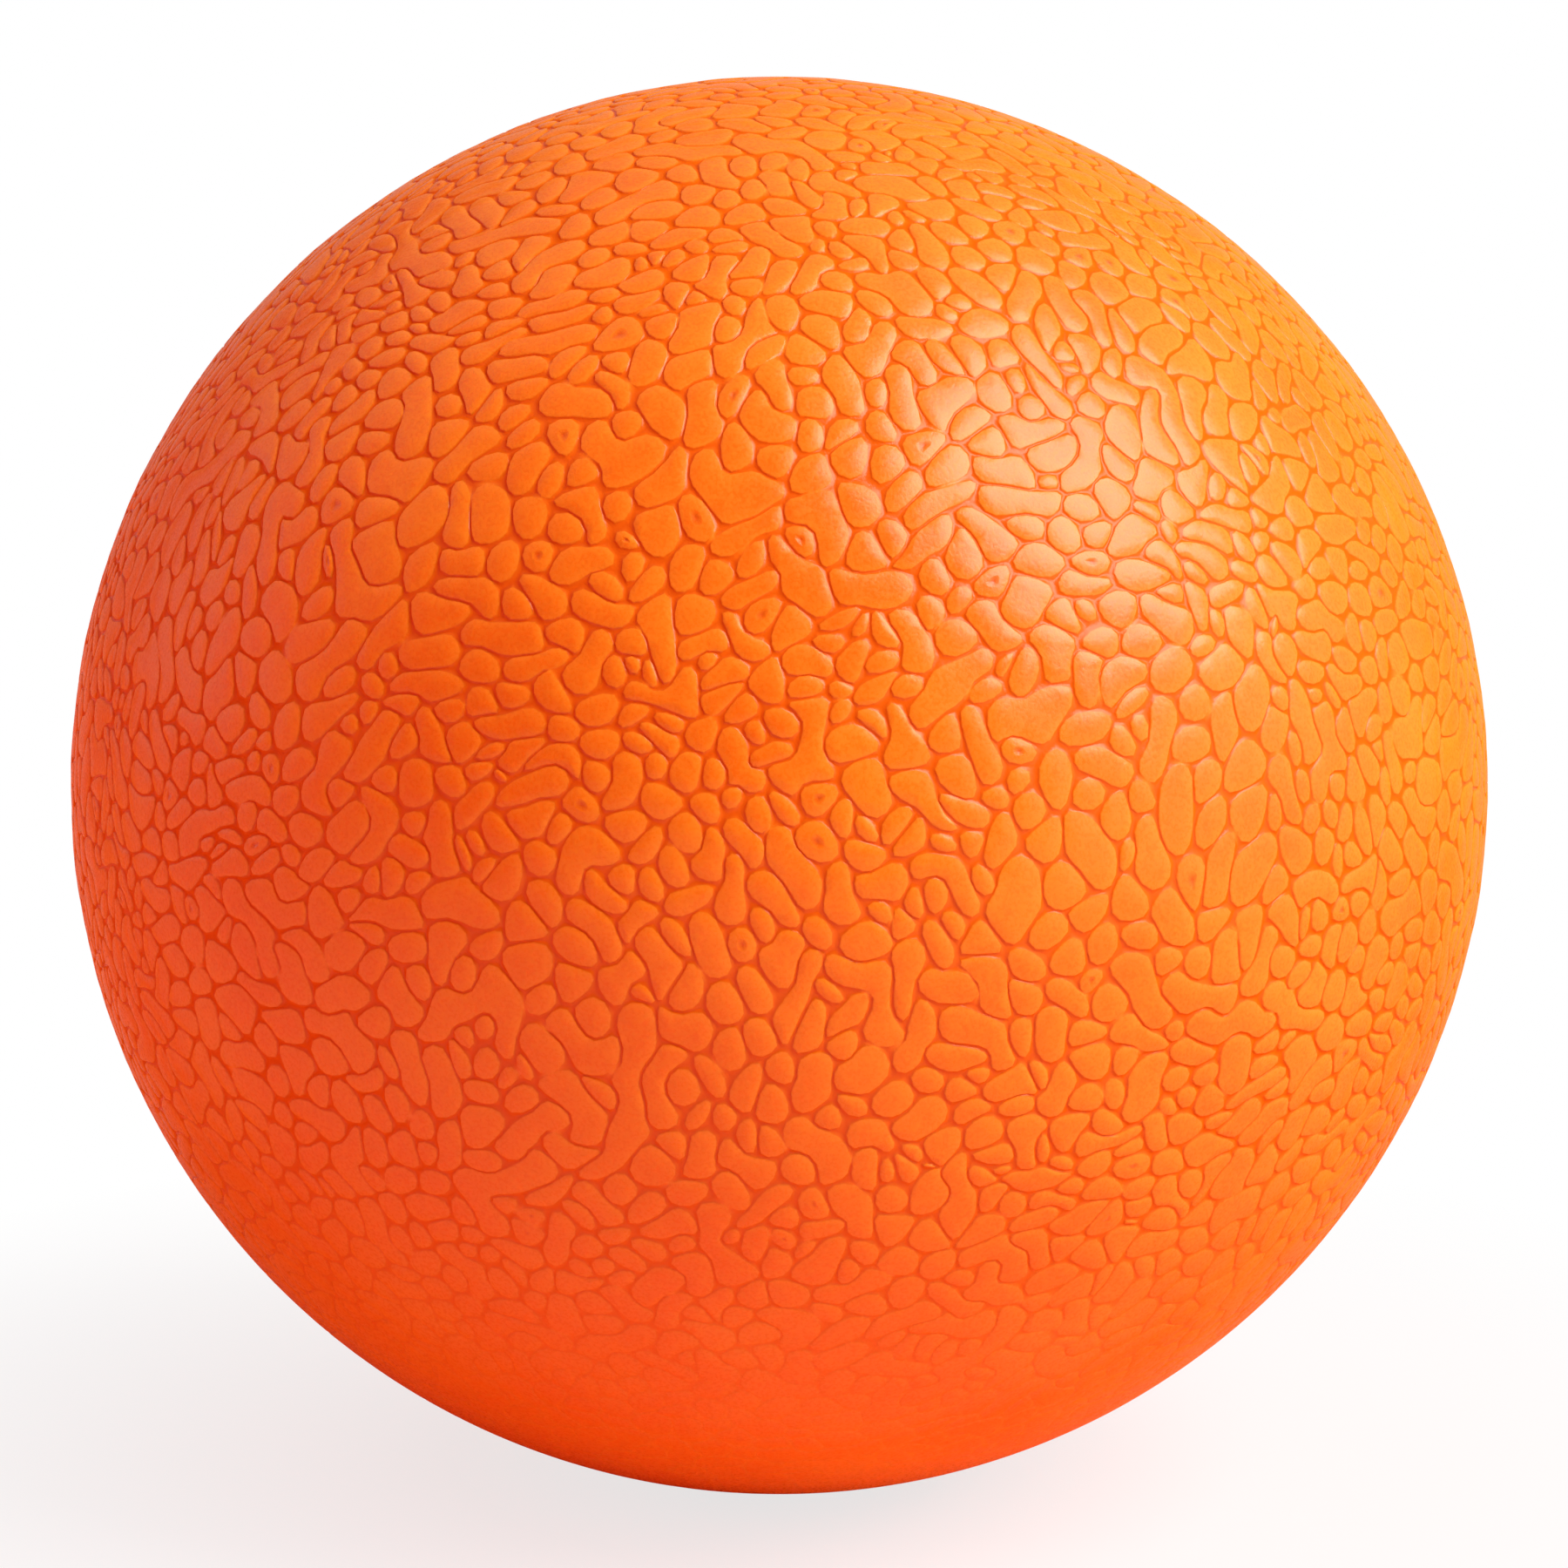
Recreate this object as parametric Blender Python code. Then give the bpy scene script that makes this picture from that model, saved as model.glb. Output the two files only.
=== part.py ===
"""Round massage ball: a firm core inside a soft cover that is moulded in two halves.

Run with: blender --background --python part.py
Units are metres and +Z is up. The origin is the middle of the patch that the ball rests on.
"""

import math

import bmesh
import bpy

# Driving dimensions
BALL_DIAMETER = 0.063  # over the crests of the grain
COVER_THICKNESS = 0.0075  # from the outside of the cover to the core's cavity
LAP_DEPTH = 0.003  # how far the upper half's lip reaches down into the lower half
REST_PATCH_DIAMETER = 0.006  # where the ball's own weight presses it flat
FIT_GAP = 0.0003  # between faces that touch

# Facets of the round surfaces
FACETS_AROUND = 48  # flats round the upright axis
FACETS_PER_QUARTER = 12  # flats on a quarter of a circle from pole to equator

# Sizes that follow from the driving dimensions
BALL_RADIUS = BALL_DIAMETER / 2
REST_PATCH_RADIUS = REST_PATCH_DIAMETER / 2
CENTRE_HEIGHT = math.sqrt(BALL_RADIUS**2 - REST_PATCH_RADIUS**2)
CAVITY_RADIUS = BALL_RADIUS - COVER_THICKNESS
CORE_RADIUS = CAVITY_RADIUS - FIT_GAP
LIP_RADIUS = CAVITY_RADIUS + (COVER_THICKNESS - FIT_GAP) / 2  # the lap shares the wall evenly
REBATE_RADIUS = LIP_RADIUS + FIT_GAP
RIM_HEIGHT = FIT_GAP / 2  # each half's outer rim stands this far from the equator
REBATE_DEPTH = LAP_DEPTH + FIT_GAP

# Finishes, as linear colours
COVER_COLOUR = (0.93, 0.17, 0.016, 1.0)
COVER_ROUGHNESS = 0.42
CORE_COLOUR = (0.16, 0.12, 0.1, 1.0)
CORE_ROUGHNESS = 0.7
SMOOTH_BELOW = math.radians(30)  # sharper edges than this stay crisp
WELD_DISTANCE = 1e-7


def clear_scene():
    for obj in list(bpy.data.objects):
        bpy.data.objects.remove(obj)


def rubber(name, colour, roughness):
    material = bpy.data.materials.new(name)
    material.use_nodes = True
    shader = material.node_tree.nodes["Principled BSDF"]
    shader.inputs["Base Color"].default_value = colour
    shader.inputs["Roughness"].default_value = roughness
    shader.inputs["Metallic"].default_value = 0.0
    return material


def arc(radius, start_height, end_height):
    """Points (distance from the axis, height) on a circle round the ball's centre, between two heights."""
    start = math.acos(start_height / radius)
    end = math.acos(end_height / radius)
    steps = math.ceil(abs(end - start) / (math.pi / 2) * FACETS_PER_QUARTER)
    angles = [start + (end - start) * step / steps for step in range(steps + 1)]
    return [(radius * math.sin(angle), radius * math.cos(angle)) for angle in angles]


def turned_solid(name, profile, material, parent):
    """A solid turned round the ball's upright axis. The profile starts and ends on that axis."""
    mesh = bpy.data.meshes.new(name)
    shape = bmesh.new()
    points = [shape.verts.new((distance, 0, height)) for distance, height in profile]
    edges = [shape.edges.new(pair) for pair in zip(points, points[1:])]
    bmesh.ops.spin(
        shape,
        geom=points + edges,
        axis=(0, 0, 1),
        cent=(0, 0, 0),
        angle=2 * math.pi,
        steps=FACETS_AROUND,
        use_merge=True,
    )
    bmesh.ops.remove_doubles(shape, verts=shape.verts, dist=WELD_DISTANCE)
    bmesh.ops.recalc_face_normals(shape, faces=shape.faces)
    shape.to_mesh(mesh)
    shape.free()
    mesh.shade_smooth()
    mesh.set_sharp_from_angle(angle=SMOOTH_BELOW)
    mesh.materials.append(material)
    solid = bpy.data.objects.new(name, mesh)
    bpy.context.scene.collection.objects.link(solid)
    solid.parent = parent
    return solid


def core_profile():
    """Half circle: the core is a plain ball that fills the cover."""
    return arc(CORE_RADIUS, CORE_RADIUS, -CORE_RADIUS)


def upper_cover_profile():
    """Upper half of the cover, with a lip on its inner side that reaches below the equator."""
    outside = arc(BALL_RADIUS, BALL_RADIUS, RIM_HEIGHT)
    lip = [(LIP_RADIUS, RIM_HEIGHT), (LIP_RADIUS, -LAP_DEPTH)]
    inside = arc(CAVITY_RADIUS, -LAP_DEPTH, CAVITY_RADIUS)
    return outside + lip + inside


def lower_cover_profile():
    """Lower half of the cover, with a rebate that takes the lip and a flat patch to rest on."""
    inside = arc(CAVITY_RADIUS, -CAVITY_RADIUS, -REBATE_DEPTH)
    rebate = [(REBATE_RADIUS, -REBATE_DEPTH), (REBATE_RADIUS, -RIM_HEIGHT)]
    outside = arc(BALL_RADIUS, -RIM_HEIGHT, -CENTRE_HEIGHT)
    patch_middle = [(0.0, -CENTRE_HEIGHT)]
    return inside + rebate + outside + patch_middle


def build_ball():
    clear_scene()
    cover_rubber = rubber("cover_rubber", COVER_COLOUR, COVER_ROUGHNESS)
    core_rubber = rubber("core_rubber", CORE_COLOUR, CORE_ROUGHNESS)
    centre = bpy.data.objects.new("ball_centre", None)
    centre.location.z = CENTRE_HEIGHT
    bpy.context.scene.collection.objects.link(centre)
    turned_solid("core", core_profile(), core_rubber, centre)
    turned_solid("upper_cover", upper_cover_profile(), cover_rubber, centre)
    turned_solid("lower_cover", lower_cover_profile(), cover_rubber, centre)


build_ball()
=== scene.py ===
# %% [markdown]
# # A grained massage ball
#
# The real object is a round ball of soft orange rubber, small enough for one hand. Its whole outside is
# moulded with a leather-like grain: flat-topped pebbles with rounded edges, set apart by narrow grooves.
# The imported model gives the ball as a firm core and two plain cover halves. This lesson replaces the plain
# halves with grained ones, gives both rubbers their finish, and lights the ball as in a studio.

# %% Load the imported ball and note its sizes
import math

import bpy
import numpy as np
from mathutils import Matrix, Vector
from mathutils.geometry import delaunay_2d_cdt


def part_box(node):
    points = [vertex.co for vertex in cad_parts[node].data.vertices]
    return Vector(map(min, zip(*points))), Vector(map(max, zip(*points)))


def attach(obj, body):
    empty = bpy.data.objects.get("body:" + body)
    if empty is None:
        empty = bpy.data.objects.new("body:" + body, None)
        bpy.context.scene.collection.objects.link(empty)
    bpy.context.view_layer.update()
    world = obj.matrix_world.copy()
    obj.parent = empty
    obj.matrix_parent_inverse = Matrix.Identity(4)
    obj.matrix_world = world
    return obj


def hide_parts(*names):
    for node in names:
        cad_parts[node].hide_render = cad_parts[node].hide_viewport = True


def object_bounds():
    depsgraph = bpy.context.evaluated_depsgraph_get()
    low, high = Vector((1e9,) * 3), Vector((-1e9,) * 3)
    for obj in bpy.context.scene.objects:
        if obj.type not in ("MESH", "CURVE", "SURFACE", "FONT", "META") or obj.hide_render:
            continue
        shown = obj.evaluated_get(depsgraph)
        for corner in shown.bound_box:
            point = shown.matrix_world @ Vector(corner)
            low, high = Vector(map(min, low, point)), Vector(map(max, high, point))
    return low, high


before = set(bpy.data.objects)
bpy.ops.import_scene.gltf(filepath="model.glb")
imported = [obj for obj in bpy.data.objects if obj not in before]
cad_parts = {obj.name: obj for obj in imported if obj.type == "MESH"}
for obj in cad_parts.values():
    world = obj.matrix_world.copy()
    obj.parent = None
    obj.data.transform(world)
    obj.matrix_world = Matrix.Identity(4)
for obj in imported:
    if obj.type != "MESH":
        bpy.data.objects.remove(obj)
cad_box = [list(corner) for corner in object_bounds()]

MM = 0.001
box_low, box_high = (np.array(corner) for corner in cad_box)
BALL_RADIUS = (box_high[0] - box_low[0]) / 2
BALL_CENTRE = np.array([0.0, 0.0, box_high[2] - BALL_RADIUS])
core_low, core_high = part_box("core")
CORE_RADIUS = (core_high.z - core_low.z) / 2
print(f"ball radius {BALL_RADIUS / MM:.2f} mm, centre {BALL_CENTRE[2] / MM:.2f} mm above the floor")

# %% [markdown]
# ## Where the pebbles sit
#
# A mould maker etches the grain into the steel, and each pebble takes the ground that is nearest to it.
# That is what a Voronoi pattern does: scatter seeds over the ball and give each seed the ground closer to
# it than to any other. A golden spiral spreads the seeds evenly, and a random push makes the pebbles
# differ in size. To find each seed's neighbours, the ball is spread out flat in the one way that keeps
# circles round, and Blender's own Delaunay tool links the flat points. Moving each seed part of the way to
# the middle of its ground rounds the pebbles off. A few late seeds, each in the gap between three others,
# become the small round dots.

# %% Scatter the seeds and link neighbours
SPREAD_SEEDS = 6900
DOT_SHARE = 0.15  # dots, as a share of the seeds
SEED_PUSH = 0.45  # random push, as a share of the mean distance between seeds
SETTLE_ROUNDS, SETTLE_SHARE = 2, 0.4
rng = np.random.default_rng(41)


def unit(vectors):
    """Each row divided by its own length."""
    return vectors / np.linalg.norm(vectors, axis=-1, keepdims=True)


def spiral_seeds(count):
    """Golden spiral: the height falls evenly from pole to pole while the angle grows by the golden angle;
    then each point is pushed at random and brought back to the unit sphere."""
    number = np.arange(count) + 0.5
    height = 1 - 2 * number / count
    angle = number * math.pi * (3 - math.sqrt(5))
    ring = np.sqrt(1 - height**2)
    spiral = np.stack([ring * np.cos(angle), ring * np.sin(angle), height], axis=1)
    spacing = math.sqrt(4 * math.pi / count)
    return unit(spiral + rng.normal(0, SEED_PUSH * spacing, spiral.shape))


def spread_flat(places, pole):
    """Flat places of directions seen from the pole: the two coordinates square to the pole, divided by one
    minus the third. Circles on the sphere stay circles."""
    across = unit(np.cross(pole, [0, 1, 0]))
    along = np.cross(pole, across)
    return np.stack([places @ across, places @ along], axis=1) / (1 - places @ pole)[:, None]


def seed_triangles(places):
    """Seed numbers of the triangles between neighbours, anticlockwise from outside. The lowest seed is the
    pole of the flat picture, so it is left out there and joined to the picture's rim afterwards."""
    lowest = np.argmin(places[:, 2])
    others = np.delete(np.arange(len(places)), lowest)
    flat = spread_flat(places[others], places[lowest])
    _, _, faces, sources, _, _ = delaunay_2d_cdt(flat.tolist(), [], [], 0, 0.0, True)
    found = others[np.array(sources)[:, 0]][np.array(faces)]
    sides = np.stack([found, np.roll(found, -1, axis=1)], axis=2).reshape(-1, 2)
    forward = sides[:, 0] * len(places) + sides[:, 1]
    backward = sides[:, 1] * len(places) + sides[:, 0]
    rim = sides[~np.isin(backward, forward)]
    found = np.concatenate([found, np.column_stack([rim[:, ::-1], np.full(len(rim), lowest)])])
    a, b, c = (places[found[:, k]] for k in range(3))
    inward = np.sum(np.cross(b - a, c - a) * (a + b + c), axis=1) < 0
    found[inward] = found[inward][:, ::-1]
    return found


def meeting_points(places, found):
    """For each triangle of seeds the point of the sphere that is equally far from all three."""
    a, b, c = (places[found[:, k]] for k in range(3))
    return unit(np.cross(b - a, c - a))


def settled(places):
    """Each seed moves part of the way to the mean of the meeting points round it."""
    found = seed_triangles(places)
    meets = np.repeat(meeting_points(places, found), 3, axis=0)
    total = np.zeros_like(places)
    np.add.at(total, found.ravel(), meets)
    return unit(places * (1 - SETTLE_SHARE) + unit(total) * SETTLE_SHARE)


def with_dots(places):
    """The seeds and a few more, each at the meeting point of three neighbours, picked at random."""
    meets = meeting_points(places, seed_triangles(places))
    picks = rng.permutation(len(meets))[: int(DOT_SHARE * len(places))]
    return np.concatenate([places, meets[picks]])


seeds = spiral_seeds(SPREAD_SEEDS)
for _ in range(SETTLE_ROUNDS):
    seeds = settled(seeds)
seeds = settled(with_dots(seeds))
triangles = seed_triangles(seeds)
SEED_COUNT = len(seeds)
print(f"{SEED_COUNT} seeds, {len(triangles)} triangles between neighbours")

# %% [markdown]
# ## The ground of each seed
#
# Three neighbouring seeds meet at one groove junction, the point that is equally far from all three. Each
# link between two seeds crosses one stretch of groove, which runs from junction to junction. Walking the
# links round a seed gives the outline of its ground. Every link is stored twice, once for each of its seeds,
# and the arrays below hold for each of these half links its twin and the next half link round the same seed.

# %% Link arrays and groove junctions
link_from = triangles.ravel()
link_to = np.roll(triangles, -1, axis=1).ravel()
link_count = len(link_from)
link_number = np.arange(link_count)
link_key = link_from.astype(np.int64) * SEED_COUNT + link_to
twin_key = link_to.astype(np.int64) * SEED_COUNT + link_from
by_key = np.argsort(link_key)
twin = by_key[np.searchsorted(link_key, twin_key, sorter=by_key)]
is_main = link_number < twin
before_in_triangle = link_number - link_number % 3 + (link_number + 2) % 3
next_round_seed = twin[before_in_triangle]

junctions = meeting_points(seeds, triangles)
stretch_start = junctions[twin // 3]
stretch_end = junctions[link_number // 3]
stretch_length = np.linalg.norm(stretch_end - stretch_start, axis=1) * BALL_RADIUS
print(f"mean groove stretch {stretch_length.mean() / MM:.2f} mm")

# %% [markdown]
# ## Joining grounds into pebbles
#
# In the real grain few pebbles are plain rounds: many run together into long, hooked or dumb-bell shapes. So
# some neighbouring grounds join, which means that the stretch of groove between them isn't there. In one
# round of joining, a stretch goes only if it is the favourite of both of its seeds, so grounds join in pairs;
# a second round joins some of the pairs to others. Three grounds round one junction never all join, which
# keeps every junction on an outline. Grounds of the upper and the lower half never join, because the mould
# parts between them.

# %% Choose the stretches that go
JOINED_SHARES = (0.95, 0.55)  # of the pairs that could join, round by round
LEAST_NECK = 0.62 * MM  # shorter stretches stay
NECK_MARGIN = 0.3  # the line between two seeds that join crosses their stretch this far from its ends
LARGEST_PAIR = 3.7 * MM**2  # area of two grounds that join
NO_CHANCE = 2.0  # ranks after every random number

same_half = (seeds[link_from, 2] > 0) == (seeds[link_to, 2] > 0)
stretch = stretch_end - stretch_start
half_way = unit(seeds[link_from] + seeds[link_to])
crossing = np.sum((half_way - stretch_start) * stretch, axis=1) / np.sum(stretch**2, axis=1)
neck_fits = (stretch_length > LEAST_NECK) & (np.abs(crossing - 0.5) < 0.5 - NECK_MARGIN)
sectors = np.cross(stretch_start - seeds[link_from], stretch_end - seeds[link_from])
sector_areas = np.linalg.norm(sectors, axis=1) / 2 * BALL_RADIUS**2
areas = np.bincount(link_from, weights=sector_areas)
pair_fits = areas[link_from] + areas[link_to] < LARGEST_PAIR
can_join = neck_fits & neck_fits[twin] & pair_fits & same_half


def shared_chance():
    """A random number for each link that its twin has too."""
    chance = rng.uniform(size=link_count)
    return np.where(is_main, chance, chance[twin])


def favourite_pairs(allowed):
    """Links that both of their seeds rank first among those allowed."""
    rank = np.where(allowed, shared_chance(), NO_CHANCE)
    first = np.full(SEED_COUNT, NO_CHANCE)
    np.minimum.at(first, link_from, rank)
    return allowed & (rank == first[link_from]) & (rank == first[link_to])


joined = np.zeros(link_count, bool)
for joined_share in JOINED_SHARES:
    joined |= favourite_pairs(can_join & ~joined) & (shared_chance() < joined_share)


def walk_past_joined():
    """For each link the one to walk on to if it is joined, past the far side of its twin, and the next open
    link round the same pebble."""
    past = next_round_seed[twin]
    past_joined = np.where(joined[past], past[past], past)
    after = np.where(joined[next_round_seed], past_joined[next_round_seed], next_round_seed)
    return past_joined, after


landing, next_open = walk_past_joined()
dead_end = ~joined & (next_open == twin)  # a groove that would end inside a pebble
reopened = next_round_seed[dead_end]
joined[reopened] = False
joined[twin[reopened]] = False
landing, next_open = walk_past_joined()
print(f"{joined.sum() // 2} stretches removed, about {SEED_COUNT - joined.sum() // 2} pebbles")

# %% [markdown]
# ## Points along the grooves
#
# Each stretch of groove is divided into short steps of about the same length, so that long sides get more
# points than short ones. The same point serves both pebbles beside it, which keeps the skin free of cracks.
# A slot is one such point as one pebble sees it: it knows its seed, its shared point and the next slot.

# %% Divide the grooves into slots
GROOVE_STEP = 0.53 * MM
LEAST_HALVED = 0.62 * MM  # stretches longer than this have two steps at least

steps = np.maximum(np.rint(stretch_length / GROOVE_STEP).astype(int), 1 + (stretch_length > LEAST_HALVED))
steps = np.where(joined, 0, np.maximum(steps, steps[twin]))
first_slot = np.concatenate([[0], np.cumsum(steps)[:-1]])
slot_link = np.repeat(link_number, steps)
slot_count = len(slot_link)
slot_number = np.arange(slot_count)
slot_step = slot_number - first_slot[slot_link]
slot_steps = steps[slot_link]
slot_seed = link_from[slot_link]
last_on_link = slot_step + 1 == slot_steps
next_slot = np.where(last_on_link, first_slot[next_open[slot_link]], slot_number + 1)
previous_slot = np.empty(slot_count, int)
previous_slot[next_slot] = slot_number

inner_points = np.where(is_main, np.maximum(steps - 1, 0), 0)
first_inner = len(junctions) + np.concatenate([[0], np.cumsum(inner_points)[:-1]])
main_link = np.where(is_main, link_number, twin)[slot_link]
step_on_main = np.where(is_main[slot_link], slot_step, slot_steps - slot_step)
slot_point = np.where(slot_step == 0, twin[slot_link] // 3, first_inner[main_link] + step_on_main - 1)
point_count = len(junctions) + inner_points.sum()
print(f"{slot_count} slots share {point_count} groove points")

# %% [markdown]
# ## Bending the pattern
#
# Straight-sided grounds look like cracked mud. Etched leather grain is drawn out in places and its sides are
# wavy. A sum of plane waves gives a smooth push that is the same wherever two pebbles meet: long waves draw
# whole patches of pebbles out in one direction, and short ones bend the sides.

# %% Bend the groove points with waves
LONG_WAVE, LONG_PUSH = 19 * MM, 0.8 * MM
SHORT_WAVE, SHORT_PUSH = 2.4 * MM, 0.2 * MM
WAVE_COUNT = 14


def new_waves(wave_length):
    """A function of direction that sums plane waves: each wave is the sine of the distance along its own
    axis, with a random phase, times a random vector. The sum is about one long."""
    axes = unit(rng.normal(size=(WAVE_COUNT, 3)))
    pushes = unit(rng.normal(size=(WAVE_COUNT, 3))) * math.sqrt(2 / WAVE_COUNT)
    phases = rng.uniform(0, 2 * math.pi, WAVE_COUNT)
    turns = 2 * math.pi * BALL_RADIUS / wave_length
    return lambda directions: np.sin(turns * directions @ axes.T + phases) @ pushes


long_waves = new_waves(LONG_WAVE)
short_waves = new_waves(SHORT_WAVE)


def bent(directions):
    """Directions pushed along the sphere by the long waves, then by the short ones."""
    drawn = unit(directions + long_waves(directions) * LONG_PUSH / BALL_RADIUS)
    return unit(drawn + short_waves(drawn) * SHORT_PUSH / BALL_RADIUS)


main_slots = is_main[slot_link] & (slot_step > 0)
share = (slot_step / slot_steps)[main_slots, None]
straight = np.empty((point_count, 3))
straight[: len(junctions)] = junctions
straight[slot_point[main_slots]] = unit(
    stretch_start[slot_link[main_slots]] * (1 - share) + stretch_end[slot_link[main_slots]] * share
)
points = bent(straight)

junction_sum = np.zeros_like(seeds)
np.add.at(junction_sum, link_from, stretch_start)
middles = bent(unit(junction_sum))
pushes = np.linalg.norm(points - straight, axis=1) * BALL_RADIUS
print(f"groove points pushed by {pushes.mean() / MM:.2f} mm on average")

# %% [markdown]
# ## Grooves that come and go
#
# Some grooves of the real grain are pinched half way or fade out. Each groove point has a number for how open
# it is: 1 is a full groove, 0 is none.

# %% Decide how open every groove point is
PINCHED_SHARE = 0.05  # of the stretches
PINCH_AT, PINCH_LENGTH = 0.42, 0.4  # shares of the stretch

pinched = (shared_chance() < PINCHED_SHARE) & same_half
half_open = np.clip((step_on_main / slot_steps - PINCH_AT) / PINCH_LENGTH, 0, 1)
slot_open = np.where(pinched[slot_link], half_open, 1.0)
point_open = np.zeros(point_count)
np.maximum.at(point_open, slot_point, slot_open)
np.maximum.at(point_open, slot_point[next_slot], np.where(last_on_link, slot_open, 0))
print(f"{pinched.sum() // 2} pinched stretches")

# %% [markdown]
# ## The cross-section of a pebble
#
# Cut across a groove and the profile is the same everywhere: a narrow groove with a nearly flat floor, a
# steep wall and a nearly flat top. So a pebble is this profile carried round its outline. The outline is
# first smoothed, which rounds its corners and widens the grooves where three pebbles meet. Each stop of the
# profile is then a ring: the outline drawn in by the stop's distance. Where a pebble is narrow, its rings
# draw closer together.

# %% Rings of the pebble profile
FLOOR_WIDTH = 0.045 * MM  # from the middle of the groove to the foot of the wall
FLOOR_WIDTH_SPREAD = 0.4  # share by which the floor's width comes and goes
WIDTH_WAVE = 3.2 * MM
WALL_WIDTH = 0.045 * MM
ROUNDING_ROUNDS = 3
PUSH_APART, LAST_DRAW = -0.53, 0.4  # shares of the way to the mean of the neighbours
TIP_SHARE = 0.15  # of the way ahead in the inward direction, which counts where an outline turns back
HOLLOW_GAIN = 3  # a bend whose sine is a third counts as a full hollow
LEAST_STEEPNESS = 0.5  # of the inward direction against the way to the seed's middle
NECK_HALF_WIDTH = 0.3 * MM
LARGEST_INSET = 0.72  # share of a pebble's half width that the rings may take
EASING_ROUNDS, EASING = 22, 0.7  # where rings would fold over, they are drawn closer together step by step
PLAIN_FROM = 5  # after this many rounds, such rings take the straight way from the groove to the crown
PLAIN_FLOOR, PLAIN_INSET = 0.07, 0.2  # shares of that way
STRAIGHT_FROM = 8  # after this many rounds, the groove beside such rings is straightened too
TINY = 1e-12  # keeps a length of zero from being divided by


def length(vectors):
    """Length of each row."""
    return np.linalg.norm(vectors, axis=-1)


def averaged(values, share=0.5):
    """Each slot moves by a share of the way to the mean of its two neighbours."""
    return values + share * ((values[next_slot] + values[previous_slot]) / 2 - values)


def rounded_loops(values):
    """Each round draws the slots together and pushes them apart again by a little more: corners go round, but
    the loops don't shrink."""
    for _ in range(ROUNDING_ROUNDS):
        values = averaged(averaged(values), PUSH_APART)
    return averaged(values, LAST_DRAW)


def unit_or_zero(vectors):
    """Each row divided by its own length, or left at zero."""
    return vectors / (length(vectors)[:, None] + TINY)


smooth_outline = unit(rounded_loops(points[slot_point]))
point_sum = np.zeros_like(points)
np.add.at(point_sum, slot_point, smooth_outline)
on_outline = np.bincount(slot_point, minlength=point_count) > 0
points[on_outline] = unit(point_sum[on_outline])  # half way between the smoothed outlines beside them

coming = unit_or_zero(smooth_outline - smooth_outline[previous_slot])
going = unit_or_zero(smooth_outline[next_slot] - smooth_outline)
inward = unit(np.cross(smooth_outline, coming + going) + TIP_SHARE * (coming - going))
outside = np.minimum(np.sum((smooth_outline - points[slot_point]) * inward, axis=1), 0)
smooth_outline = smooth_outline - outside[:, None] * inward

bend = np.sum(np.cross(coming, going) * smooth_outline, axis=1)
hollow = averaged(np.clip(-HOLLOW_GAIN * bend, 0, 1))  # 1 where the outline bends into the pebble
to_middle = middles[slot_seed] - smooth_outline
steep = np.maximum(np.sum(to_middle * inward, axis=1), LEAST_STEEPNESS * length(to_middle))
half_width = averaged(averaged(steep * BALL_RADIUS))
half_width = np.maximum(half_width, hollow * NECK_HALF_WIDTH)
pull = (to_middle / steep[:, None]) * (1 - hollow)[:, None] + inward * hollow[:, None]

width_waves = new_waves(WIDTH_WAVE)
floor_width = FLOOR_WIDTH * (1 + FLOOR_WIDTH_SPREAD * width_waves(points)[:, 0])[slot_point]
whole_inset = floor_width + WALL_WIDTH
squeeze = np.minimum(1, LARGEST_INSET * half_width / whole_inset)


def ring(inset):
    """Smooth outline drawn in by the inset, or by less where the pebble is narrow."""
    return unit(smooth_outline + pull * (squeeze * inset / BALL_RADIUS)[:, None])


def turned_over(a, b, c):
    """True where a triangle of directions runs clockwise from outside."""
    return np.sum(np.cross(b - a, c - a) * a, axis=1) <= 0


def folded(outer, inner):
    """True where the quad between two rings has a half that is turned over."""
    first = turned_over(outer, outer[next_slot], inner[next_slot])
    return first | turned_over(outer, inner[next_slot], inner)


def crown_points(rings):
    """Middle of each ground's top: the mean of the ring's edges and of the necks to joined grounds, each
    weighted by its length."""
    starts = np.concatenate([rings, rings[neck_slot]])
    ends = np.concatenate([rings[next_slot], rings[neck_end]])
    grounds = np.concatenate([slot_seed, link_from[joined]])
    total = np.zeros_like(seeds)
    np.add.at(total, grounds, (starts + ends) * length(ends - starts)[:, None])
    return unit(total)


def plain_or(share, rings):
    """The rings, or at plain slots a share of the straight way from the groove point to the crown."""
    groove = points[slot_point]
    straight_way = unit(groove + share * (crowns[slot_seed] - groove))
    return np.where(plain[:, None], straight_way, rings)


neck_slot = first_slot[landing[joined]]
neck_end = first_slot[landing[twin[joined]]]
plain = np.zeros(slot_count, bool)
for easing_round in range(EASING_ROUNDS):
    crowns = crown_points(ring(whole_inset))
    foot_ring = plain_or(PLAIN_FLOOR, ring(floor_width))
    top_ring = plain_or(PLAIN_INSET, ring(whole_inset))
    tight = folded(points[slot_point], foot_ring) | folded(foot_ring, top_ring)
    tight |= turned_over(top_ring, top_ring[next_slot], crowns[slot_seed])
    shut_neck = turned_over(top_ring[neck_slot], crowns[link_to[joined]], crowns[link_from[joined]])
    tight[neck_slot[shut_neck]] = True
    eased = tight | tight[previous_slot]
    squeeze = np.where(eased, EASING * squeeze, squeeze)
    plain |= eased & (easing_round >= PLAIN_FROM)
    if easing_round >= STRAIGHT_FROM:
        between = points[slot_point[next_slot]] + points[slot_point[previous_slot]]
        points[slot_point[tight]] = unit(points[slot_point] + between / 2)[tight]

print(f"{tight.sum()} slots still tight")
print(f"mean half width {half_width.mean() / MM:.2f} mm, {np.mean(squeeze < 1):.0%} of the slots squeezed")

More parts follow.
